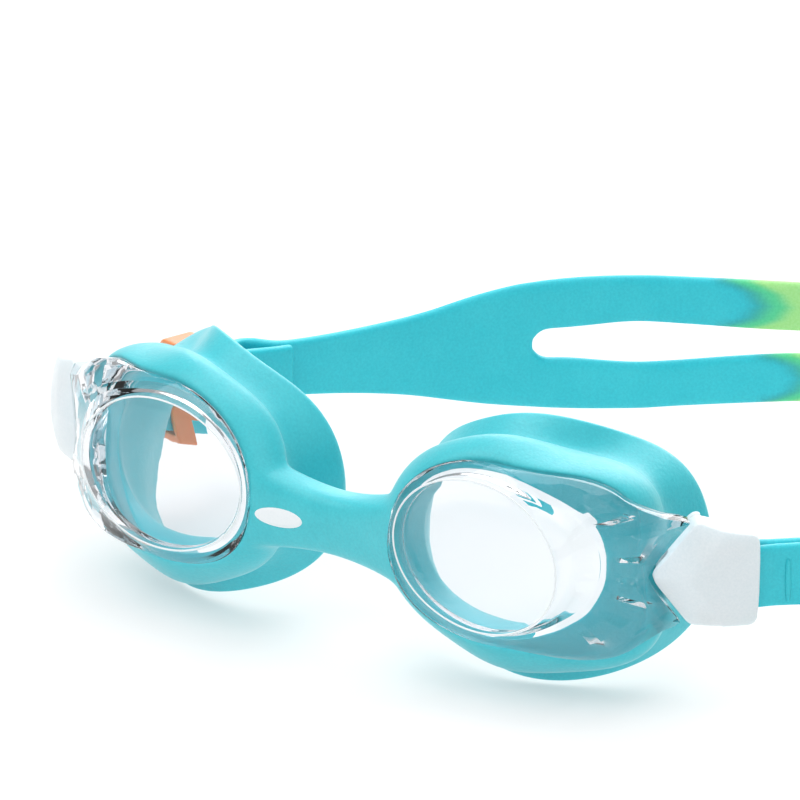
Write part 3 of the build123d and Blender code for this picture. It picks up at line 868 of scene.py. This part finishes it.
right_loop = loop_path(-1, RIGHT_HEADING)
left_loop = loop_path(1, LEFT_HEADING)
right_tail, _ = follow(right_loop[0], heading_vector(RIGHT_HEADING), RIGHT_TAIL)
left_tail, _ = follow(left_loop[0], heading_vector(LEFT_HEADING), LEFT_TAIL)
right_run, first = follow(right_loop[-1], heading_vector(RIGHT_HEADING), RIGHT_HUMP + RIGHT_BENDS)
left_run, last = follow(left_loop[-1], heading_vector(LEFT_HEADING), LEFT_HUMP)
across = np.array([first[1] + last[1], -first[0] - last[0]]) * BACK_RADIUS
gap = left_run[-1] - right_run[-1] - across
spread_of_ends = cross(first, last)
right_end = right_run[-1] + first * cross(gap, last) / spread_of_ends
left_end = left_run[-1] + last * cross(gap, first) / spread_of_ends
back_centre = right_end + np.array([first[1], -first[0]]) * BACK_RADIUS
start_angle = atan2(*(right_end - back_centre)[::-1])
end_angle = atan2(*(left_end - back_centre)[::-1])
back_turn = (end_angle - start_angle) % (2 * pi) - 2 * pi
back_arc = []
for i in range(BACK_STEPS + 1):
    a = start_angle + back_turn * i / BACK_STEPS
    back_arc.append(back_centre + np.array([cos(a), sin(a)]) * BACK_RADIUS)
right_half = right_tail[::-1] + right_loop + right_run
left_half = left_run[::-1] + left_loop[::-1] + left_tail
route = np.array(right_half + back_arc + left_half)
keep = np.concatenate([[True], np.linalg.norm(np.diff(route, axis=0), axis=1) > 1e-4])
route = route[keep]
travelled = np.concatenate([[0], np.cumsum(np.linalg.norm(np.diff(route, axis=0), axis=1))])
strap_run = travelled[-1]


def run_at(point):
    """Length of strap up to the place nearest a point."""
    return travelled[np.argmin(np.linalg.norm(route - np.array(point), axis=1))]


middle_run = run_at(back_arc[BACK_STEPS // 2])
slot_start, slot_end = run_at(SLOT_RIGHT), run_at(SLOT_LEFT)
yoke_middle = (slot_start + slot_end) / 2
SLOT_RADIUS = 3.0
END_STEPS = [0.0, 0.25, 0.7, 1.3, 2.1, 3.0]
END_CLEAR_OUTSIDE, END_CLEAR_INSIDE = 3.2, 0.4


def near_slot_end(run):
    """Whether a place lies where the slot's round ends set their own places."""
    at_start = slot_start - END_CLEAR_OUTSIDE < run < slot_start + END_CLEAR_INSIDE
    at_end = slot_end - END_CLEAR_INSIDE < run < slot_end + END_CLEAR_OUTSIDE
    return at_start or at_end


SHORTEST_STEP = 0.3
runs = [0.0]
while runs[-1] < strap_run - SHORTEST_STEP:
    fine = runs[-1] <= FINE_ZONE or runs[-1] >= strap_run - FINE_ZONE
    runs.append(min(runs[-1] + (FINE_SPACING if fine else SPACING), strap_run))
runs = [run for run in runs if not near_slot_end(run)]
runs += [slot_start - SLOT_RADIUS + step for step in END_STEPS]
runs += [slot_end + SLOT_RADIUS - step for step in END_STEPS]
runs = np.array(sorted(runs))
LOOK = 0.35


def route_at(places_on_route, axis):
    """One coordinate of the route, at lengths of strap."""
    return np.interp(places_on_route, travelled, route[:, axis])


plan_x, plan_y = route_at(runs, 0), route_at(runs, 1)
ahead_x = route_at(runs + LOOK, 0) - route_at(runs - LOOK, 0)
ahead_y = route_at(runs + LOOK, 1) - route_at(runs - LOOK, 1)
lengths = np.hypot(ahead_x, ahead_y)
# Outward is away from the head: left of the direction of travel from the right tail
normal_x, normal_y = -ahead_y / lengths, ahead_x / lengths


def edge_height(values, index):
    """Height of a band edge at one place, from how far back it is from its own bar."""
    on_right = runs[index] < middle_run
    bar_x = -BAR_X if on_right else BAR_X
    back = heading_vector(EDGE_HEADING)
    along = (plan_x[index] - bar_x) * back[0] + (plan_y[index] - BAR_Y) * back[1]
    return np.interp(along, fine_stations, values)


def smooth_values(stations, values, wanted):
    """Catmull-Rom curve through values at stations."""
    read = []
    for w in wanted:
        i = min(max(np.searchsorted(stations, w) - 1, 0), len(stations) - 2)
        h = stations[i + 1] - stations[i]
        t = (w - stations[i]) / h
        slope = []
        for k in (i, i + 1):
            low, high = max(k - 1, 0), min(k + 1, len(stations) - 1)
            slope.append((values[high] - values[low]) / (stations[high] - stations[low]) * h)
        value = (2 * t**3 - 3 * t**2 + 1) * values[i] + (t**3 - 2 * t**2 + t) * slope[0]
        value += (-2 * t**3 + 3 * t**2) * values[i + 1] + (t**3 - t**2) * slope[1]
        read.append(value)
    return np.array(read)


fine_stations = np.linspace(EDGE_STATIONS[0], EDGE_STATIONS[-1], 200)
top_values = smooth_values(EDGE_STATIONS, EDGE_TOPS, fine_stations)
bottom_values = smooth_values(EDGE_STATIONS, EDGE_BOTTOMS, fine_stations)
# The yoke's edges and slot, by distance along the strap from the middle of the slot
SHOULDER_START, SHOULDER_RISE, SHOULDER_END, SHOULDER_FALL = 40, 24, 101, 14
TOP_RISE, BOTTOM_RISE, BOTTOM_RISE_FROM, BOTTOM_RISE_LENGTH = 0.9, 1.4, 66.0, 24
SLOT_LIFT, LIFT_LEAST, LIFT_FULL, LIFT_LENGTH = 0.75, 0.7, 42, 60
HALF_SLOT_END, HALF_SLOT_WIDE, HALF_SLOT_BACK = 2.5, 3.6, 1.9
WIDEN_LENGTH, NARROW_START, NARROW_LENGTH = 16, 10, 32
# Half the gap kept between the two bands of points, slot or no slot
HALF_SEAM, SEAM_BLEND, SEAM_SHARE = 0.75, -6, 18
ROWS = 5
LIP_WIDTH, LIP_HEIGHT, LIP_REACH = 2.3, 0.6, 7.0
LIP_BEFORE, LIP_AFTER, LIP_SOFT, LIP_RUN_OUT, LIP_TAPER = 4.2, 4, 0.8, 3, 5
SKIN_INSET = 0.02
LOWER_GREEN_SHIFT = 7.0


def slot_half_height(into, top, bottom):
    """Half the slot's height, from how far into the slot a place is."""
    if into < -1e-6:
        return HALF_SEAM if into > SEAM_BLEND else min((top - bottom) / SEAM_SHARE, HALF_SEAM)
    rounding = sqrt(1 - (1 - held(into / SLOT_RADIUS)) ** 2)
    deep = max(into - SLOT_RADIUS, 0)
    widen = eased(min(deep / WIDEN_LENGTH, 1))
    narrow = eased(held((deep - NARROW_START) / NARROW_LENGTH))
    half = HALF_SLOT_END + (HALF_SLOT_WIDE - HALF_SLOT_END) * widen
    half += (HALF_SLOT_BACK - HALF_SLOT_WIDE) * narrow
    return max(half * rounding, HALF_SEAM)


def lip_at(into, beyond_slot):
    """Height of the raised lip round the slot's end."""
    if not -LIP_BEFORE < into < LIP_REACH + LIP_AFTER:
        return 0.0
    distance = hypot(-into, max(beyond_slot, 0)) if into < 0 else abs(beyond_slot)
    edge_fade = held((LIP_WIDTH - distance) / LIP_SOFT)
    run_fade = held((LIP_REACH + LIP_RUN_OUT - into) / LIP_TAPER)
    return LIP_HEIGHT * edge_fade * run_fade


outer_points, inner_points, greens = [], [], []
skin_out = THICKNESS / 2 - SKIN_INSET
for index, run in enumerate(runs):
    top, bottom = edge_height(top_values, index), edge_height(bottom_values, index)
    from_middle = abs(run - yoke_middle)
    rising = held((from_middle - SHOULDER_START) / SHOULDER_RISE)
    falling = held((SHOULDER_END - from_middle) / SHOULDER_FALL)
    top += TOP_RISE * (rising * falling)
    bottom += BOTTOM_RISE * held((BOTTOM_RISE_FROM - from_middle) / BOTTOM_RISE_LENGTH)
    lift = held(1 - (from_middle - LIFT_FULL) / LIFT_LENGTH, LIFT_LEAST)
    centre = (SLOT_TOP + SLOT_BOTTOM) / 2 + SLOT_LIFT * lift
    into = min(run - (slot_start - SLOT_RADIUS), (slot_end + SLOT_RADIUS) - run)
    half = slot_half_height(into, top, bottom)
    x, y = plan_x[index], plan_y[index]
    for low, high, green_shift in (
        (bottom, centre - half, LOWER_GREEN_SHIFT),
        (centre + half, top, 0.0),
    ):
        for row in range(ROWS):
            share = row / (ROWS - 1)
            height = low + (high - low) * share
            out = skin_out + lip_at(into, abs(height - centre) - half)
            outer_points.append((x + normal_x[index] * out, y + normal_y[index] * out, height))
            out = -skin_out
            inner_points.append((x + normal_x[index] * out, y + normal_y[index] * out, height))
            greens.append((from_middle, 1 - (2 * share - 1) ** 2, green_shift))

per_place = 2 * ROWS
sheet_faces = []
for index in range(len(runs) - 1):
    middle_of_cell = (runs[index] + runs[index + 1]) / 2
    slotted = slot_start - SLOT_RADIUS < middle_of_cell < slot_end + SLOT_RADIUS
    for row in range(per_place - 1):
        if not (slotted and row == ROWS - 1):
            a = index * per_place + row
            sheet_faces.append((a, a + 1, a + 1 + per_place, a + per_place))
edge_uses = {}
for face in sheet_faces:
    for a, b in zip(face, face[1:] + face[:1]):
        edge_uses.setdefault(frozenset((a, b)), []).append((a, b))
total = len(outer_points)
strap_faces = sheet_faces + [tuple(total + index for index in face[::-1]) for face in sheet_faces]
# The rim closes every edge that only one face uses
for uses in edge_uses.values():
    if len(uses) == 1:
        a, b = uses[0]
        strap_faces.append((b, a, total + a, total + b))
strap_points = outer_points + inner_points
band = make_piece("strap_band", strap_points, strap_faces, band_silicone, "strap")
green_layer = band.data.attributes.new("green", "FLOAT", "POINT")
GREEN_START, GREEN_LENGTH, TONGUE_LENGTH = 50.0, 12.0, 6.0
for i, (from_middle, tongue, green_shift) in enumerate(greens * 2):
    edge_run = GREEN_START - TONGUE_LENGTH * tongue - green_shift
    green_layer.data[i].value = held((edge_run - from_middle) / GREEN_LENGTH + 0.5)
subdivide(band, 2)
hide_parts("strap")

# Moulded ribs on the outer layer next to each clip
RIB_RUNS = (5.1, 11.1)
RIB_WIDTH, RIB_RISE, RIB_TOP, RIB_BOTTOM = 1.15, 0.26, -0.2, -7.6
# Share of a rib's length and its size there, and a rib's section
RIB_SECTIONS = [(0.0, 0.35), (0.12, 0.85), (0.5, 1.0), (0.88, 0.85), (1.0, 0.35)]
RIB_OUTLINE = [(-0.5, -0.5), (-0.5, 0.25), (-0.22, 1.0), (0.22, 1.0), (0.5, 0.25), (0.5, -0.5)]
rib_points, rib_faces = [], []
for side_sign, heading in ((1, LEFT_HEADING), (-1, RIGHT_HEADING)):
    for along in RIB_RUNS:
        closing = min(along / LOOP_CLOSED, 1)
        offset = LOOP_HALF_WIDTH + (LAYER_OFFSET - LOOP_HALF_WIDTH) * closing + THICKNESS / 2
        start = len(rib_points)
        for share, size in RIB_SECTIONS:
            height = RIB_BOTTOM + (RIB_TOP - RIB_BOTTOM) * share
            for across_rib, out_rib in RIB_OUTLINE:
                rib_along = along + across_rib * RIB_WIDTH * size
                rib_out = offset + out_rib * RIB_RISE
                rib_points.append((*beside_strap(side_sign, heading, rib_along, rib_out), height))
        around = len(RIB_OUTLINE)
        for section in range(len(RIB_SECTIONS) - 1):
            for k in range(around):
                a = start + section * around + k
                b = start + section * around + (k + 1) % around
                face = (a, b, b + around, a + around)
                rib_faces.append(face if side_sign > 0 else tuple(reversed(face)))
        low = tuple(start + k for k in range(around))
        last_section = start + (len(RIB_SECTIONS) - 1) * around
        high = tuple(last_section + k for k in reversed(range(around)))
        for cap in (low, high):
            rib_faces.append(tuple(reversed(cap)) if side_sign > 0 else cap)
ribs = make_piece("strap_ribs", rib_points, rib_faces, band_silicone, "strap")
ribs.data.attributes.new("green", "FLOAT", "POINT")
subdivide(ribs, 1)

# ---------------------------------------------------------------- plain printed mark

MARK_X, MARK_Z, MARK_LENGTH, MARK_HEIGHT = -8.6, -2.9, 8.4, 3.2
MARK_AROUND = 28
# Sizes of the mark's rings, and how far each stands above the skin
MARK_LEVELS = [(0.02, 0.12), (0.55, 0.14), (0.9, 0.12), (1.0, 0.02), (1.04, -0.12)]
bpy.context.view_layer.update()
skin_eval = frame_skin.evaluated_get(bpy.context.evaluated_depsgraph_get())
RAY_START = 40


def on_skin(x, z, lift):
    """The point on the frame's front at x and z, lifted a little."""
    start = world((x, -RAY_START, z))
    _, spot, normal, _ = skin_eval.ray_cast(start, Vector((0, 1, 0)))
    spot = spot + normal * lift * MM
    return tuple((spot - ORIGIN) / MM)


mark_points, mark_faces = [], []
for size, lift in MARK_LEVELS:
    for k in range(MARK_AROUND):
        angle = 2 * pi * k / MARK_AROUND
        x = MARK_X + MARK_LENGTH / 2 * size * cos(angle)
        z = MARK_Z + MARK_HEIGHT / 2 * size * sin(angle)
        mark_points.append(on_skin(x, z, lift))
for level in range(len(MARK_LEVELS) - 1):
    for k in range(MARK_AROUND):
        following = (k + 1) % MARK_AROUND
        a, b = level * MARK_AROUND + k, level * MARK_AROUND + following
        mark_faces.append((a, a + MARK_AROUND, b + MARK_AROUND, b))
mark_faces.append(tuple(range(MARK_AROUND)))
make_piece("bridge_mark", mark_points, mark_faces, mark_ink_and_painted_highlight, "goggles")

# ---------------------------------------------------------------- floor, light and camera

# The floor, the camera's distance and the lamps' places are in metres
FLOOR_SIZE, FLOOR_DROP = 12.0, 0.0004
floor_mesh = bpy.data.meshes.new("floor")
half = FLOOR_SIZE / 2
outline = ((-half, -half), (half, -half), (half, half), (-half, half))
floor_mesh.from_pydata([(x, y, -FLOOR_DROP) for x, y in outline], [], [(0, 1, 2, 3)])
floor = bpy.data.objects.new("floor", floor_mesh)
bpy.context.scene.collection.objects.link(floor)
floor_mesh.materials.append(pale_floor("pale_floor"))

scene = bpy.context.scene
sky = bpy.data.worlds.new("studio")
scene.world = sky
sky.use_nodes = True
background = sky.node_tree.nodes["Background"]
background.inputs["Color"].default_value = WHITE
background.inputs["Strength"].default_value = 0.45
scene.view_settings.view_transform = "Standard"

VIEW_AZIMUTH, VIEW_ELEVATION = 35.93, 20.95
# Width of the picture and the point at its middle, in the goggles' millimetres
VIEW_WIDTH = 800 / 6.27
AIM = (0.0, 22.55, 12.6)
CAMERA_DISTANCE = 3.0
SENSOR = 36.0
azimuth, elevation = radians(VIEW_AZIMUTH), radians(VIEW_ELEVATION)
toward = Vector((sin(azimuth) * cos(elevation), -cos(azimuth) * cos(elevation), sin(elevation)))
camera_data = bpy.data.cameras.new("camera")
camera = bpy.data.objects.new("camera", camera_data)
scene.collection.objects.link(camera)
camera.location = world(AIM) + toward * CAMERA_DISTANCE
camera.rotation_euler = (-toward).to_track_quat("-Z", "Y").to_euler()
camera_data.sensor_width = SENSOR
camera_data.lens = SENSOR * CAMERA_DISTANCE / (VIEW_WIDTH * MM)
camera_data.clip_end = 50.0
scene.camera = camera

# Name, place from the aim point, size and watts
LAMPS = [
    ("key", (-0.55, -0.75, 1.05), 0.9, 6.0),
    ("fill", (0.95, -0.7, 0.7), 0.9, 2.6),
    ("top", (0.0, 0.15, 1.3), 1.1, 9.0),
    ("back", (-0.35, 1.15, 0.75), 1.3, 16.0),
]
for name, spot, size, watts in LAMPS:
    lamp_data = bpy.data.lights.new(name, "AREA")
    lamp_data.size = size
    lamp_data.energy = watts
    lamp = bpy.data.objects.new(name, lamp_data)
    scene.collection.objects.link(lamp)
    lamp.location = world(AIM) + Vector(spot)
    lamp.rotation_euler = (-Vector(spot)).to_track_quat("-Z", "Y").to_euler()
